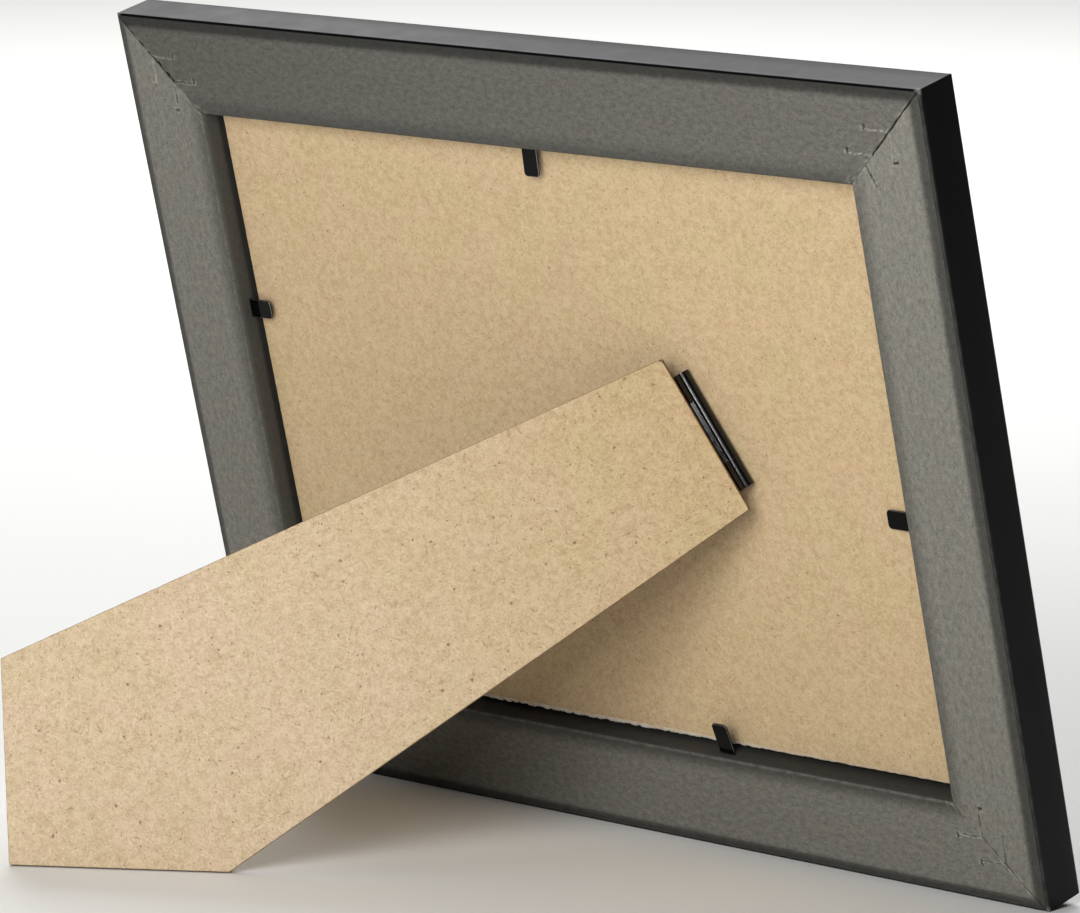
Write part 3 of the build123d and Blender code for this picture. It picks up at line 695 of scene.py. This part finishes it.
# rings: how much of the edge colour each ring of points takes, from the front face round the edge to the back face
sawnBoard = dict(corner=0.8, pitch=0.5, edge=0.2, flat=0.5, fray=0.09, fringe=0.6, seat=0.0, paleLineCentre=-14.0,
                 paleLineWidth=55.0, rings=(0, 0, 0.3, 0.7, 1.0, 1.0, 0.5, 0))
sawnStrut = dict(corner=0.5, pitch=0.8, edge=0.16, flat=0.3, fray=0.07, fringe=0.0, seat=0.0, headLong=0.62,
                 rings=(0.4, 0.75, 0.75, 0.75, 0.75, 0, 0, 0))
cutCard = dict(corner=0.2, pitch=4.0, edge=0.03, flat=0.12, fray=0.0, fringe=0.0, seat=0.03)
boardLow = reach(cornersOf("backing_board"), upward)[0]
pinPoints = cornersOf("hinge_pin")
strutHead = sum(pinPoints, Vector()) / len(pinPoints)
strutLength = max((p - strutHead).length for p in cornersOf("easel_strut"))


def boardPaleEdge(point, level):  # a pale broken line along the lower edge, strongest near the middle
    low = 1 - ramp((point.dot(upward) - boardLow) / mm, 0.7, 1.2)
    share = (point - middle).dot(across) / mm
    torn = ramp(noise.fractal(Vector((share / 1.6, 4.0 + level * 0.4, 2.0)), 1.0, 2.0, 3), -0.4, 0.3)
    strong = sawnBoard["rings"][level] * (0.3 + 0.7 * torn)
    return low * strong * (0.25 + 0.75 * bell(share - sawnBoard["paleLineCentre"], sawnBoard["paleLineWidth"]))


def strutFray(point, level):  # sawn sides, browned by the saw, and a rough brown underside
    return sawnStrut["rings"][level]


def strutHeadShade(point):  # painted shade: browner and darker towards the head, standing in for the warm, dim bounced light between strut and board there
    return max(0.0, 1 - (point - strutHead).length / strutLength / sawnStrut["headLong"])


makePlate("backing_board_sawn", "backing_board", "frame", boardMaterial, sawnBoard, frayOf=boardPaleEdge)
makePlate("easel_strut_sawn", "easel_strut", "strut", strutMaterial, sawnStrut, strutHeadShade, strutFray)
makePlate("paper_insert_card", "paper_insert", "frame", paperMaterial, cutCard)
print("plates made")


# Steel and glass: the frame's own shapes with their edges eased

def makeEased(name, node, body, material, ease, worn=None):
    bm = bmesh.new()
    bm.from_mesh(frame["nodes"][node].data)
    bmesh.ops.remove_doubles(bm, verts=bm.verts[:], dist=0.002 * mm)
    bmesh.ops.dissolve_limit(bm, angle_limit=math.radians(0.5), verts=bm.verts[:], edges=bm.edges[:])
    sharp = [e for e in bm.edges if e.is_manifold and e.calc_face_angle(0.0) > math.radians(40)]
    eased = bmesh.ops.bevel(bm, geom=sharp, offset=ease * mm, segments=2, profile=0.5, affect="EDGES",
                            clamp_overlap=True)
    for face in eased["faces"]:
        face.material_index = 1 if worn else 0
    for face in bm.faces:
        face.smooth = True
    mesh = bpy.data.meshes.new(name)
    bm.to_mesh(mesh)
    bm.free()
    mesh.materials.append(material)
    if worn:
        mesh.materials.append(worn)
    piece = addPiece(name, mesh, body, [node])
    piece.modifiers.new("evenNormals", "WEIGHTED_NORMAL").weight = 60
    return piece


eases = dict(blade=0.11, strip=0.05, leaf=0.06, pin=0.08, pane=0.15)
for side in ("bottom", "left", "top", "right"):
    makeEased(side + "_tab_strip", side + "_tab_blade", side + "_tab", tabMaterial, eases["blade"],
              steelMaterial)
    makeEased(side + "_tab_shank", side + "_tab_root", "frame", tabMaterial, eases["strip"])
for corner in cornerNames:
    makeEased(corner + "_nail_pair", corner + "_nails", "frame", steelMaterial, eases["strip"])
makeEased("hinge_board_leaf_rolled", "hinge_board_leaf", "frame", hingeMaterial, eases["leaf"])
makeEased("hinge_strut_leaf_rolled", "hinge_strut_leaf", "strut", hingeMaterial, eases["leaf"])
makeEased("hinge_pin_wire", "hinge_pin", "frame", steelMaterial, eases["pin"])
makeEased("glass_pane", "glass", "frame", glassMaterial, eases["pane"])
print("steel and glass made")


# Floor, light and camera

floorSettings = dict(size=9.0, colour="#f4f4f2", shade="#efefec", cloud=400.0)


def makeFloor():
    # Matt white table top: plain, with a barely clouded tone
    material, tree, shader = newMaterial("matt white table top, rolled")
    place = addNode(tree, "ShaderNodeTexCoord")
    cloud = addNode(tree, "ShaderNodeTexNoise", {"Vector": place.outputs["Object"],
                                                 "Scale": 1 / (floorSettings["cloud"] * mm)})
    tone = addNode(tree, "ShaderNodeMix", {"Factor": cloud.outputs["Fac"], 6: linear(floorSettings["colour"]),
                                           7: linear(floorSettings["shade"])}, data_type="RGBA")
    tree.links.new(tone.outputs[2], shader.inputs["Base Color"])
    shader.inputs["Roughness"].default_value = 0.9
    shader.inputs["Specular IOR Level"].default_value = 0.1
    mesh = bpy.data.meshes.new("floor")
    half = floorSettings["size"] / 2
    mesh.from_pydata([(-half, -half, 0), (half, -half, 0), (half, half, 0), (-half, half, 0)], [], [(0, 1, 2, 3)])
    mesh.materials.append(material)
    floor = bpy.data.objects.new("floor", mesh)
    bpy.context.scene.collection.objects.link(floor)


def aimed(azimuth, elevation):  # direction from the part towards a place round it, azimuth in degrees from -y turning towards +x, elevation in degrees above the floor
    a, e = math.radians(azimuth), math.radians(elevation)
    return Vector((math.sin(a) * math.cos(e), -math.cos(a) * math.cos(e), math.sin(e)))


def addSoftbox(name, aim, azimuth, elevation, distance, size, power):
    light = bpy.data.lights.new(name, "AREA")
    light.shape = "SQUARE"
    light.size = size
    light.energy = power
    lamp = bpy.data.objects.new(name, light)
    bpy.context.scene.collection.objects.link(lamp)
    direction = aimed(azimuth, elevation)
    lamp.location = Vector(aim) + direction * distance
    lamp.rotation_euler = direction.to_track_quat("Z", "Y").to_euler()


softboxes = dict(key=dict(aim=(0, 0, 0.08), azimuth=202, elevation=22, distance=0.9, size=0.5, power=6.5),
                 top=dict(aim=(0, 0, 0.0), azimuth=43, elevation=88, distance=1.2, size=0.8, power=1.5),
                 far=dict(aim=(0.75, -0.8, 0.0), azimuth=43, elevation=85, distance=1.3, size=1.2, power=27.0),
                 back=dict(aim=(0, 0, 0.17), azimuth=56, elevation=24, distance=3.0, size=0.6, power=2.4),
                 strip=dict(aim=(-0.04, -0.03, 0.09), azimuth=194, elevation=-3, distance=0.9, size=0.04, power=0.4))
surround = dict(colour="#ffffff", strength=0.06)
viewpoint = dict(place=(-915.954, 938.865, 301.468), azimuth=223.5701, elevation=9.3079, lens=215.9, sensor=36.0,
                 nearest=0.05)

makeFloor()
for name, settings in softboxes.items():
    addSoftbox(name, **settings)
world = bpy.data.worlds.new("studio")
world.use_nodes = True
bpy.context.scene.world = world
sky = world.node_tree.nodes["Background"]
sky.inputs["Color"].default_value = linear(surround["colour"])
sky.inputs["Strength"].default_value = surround["strength"]

camera = bpy.data.objects.new("photoView", bpy.data.cameras.new("photoView"))
bpy.context.scene.collection.objects.link(camera)
camera.data.sensor_width = viewpoint["sensor"]
camera.data.lens = viewpoint["lens"]
camera.data.clip_start = viewpoint["nearest"]
camera.location = Vector(viewpoint["place"]) * mm
backwards = aimed(viewpoint["azimuth"], viewpoint["elevation"])
camera.rotation_mode = "QUATERNION"
camera.rotation_quaternion = (-backwards).to_track_quat("-Z", "Y")
bpy.context.scene.camera = camera
bpy.context.scene.view_settings.view_transform = "Standard"
print("floor, light and camera made")
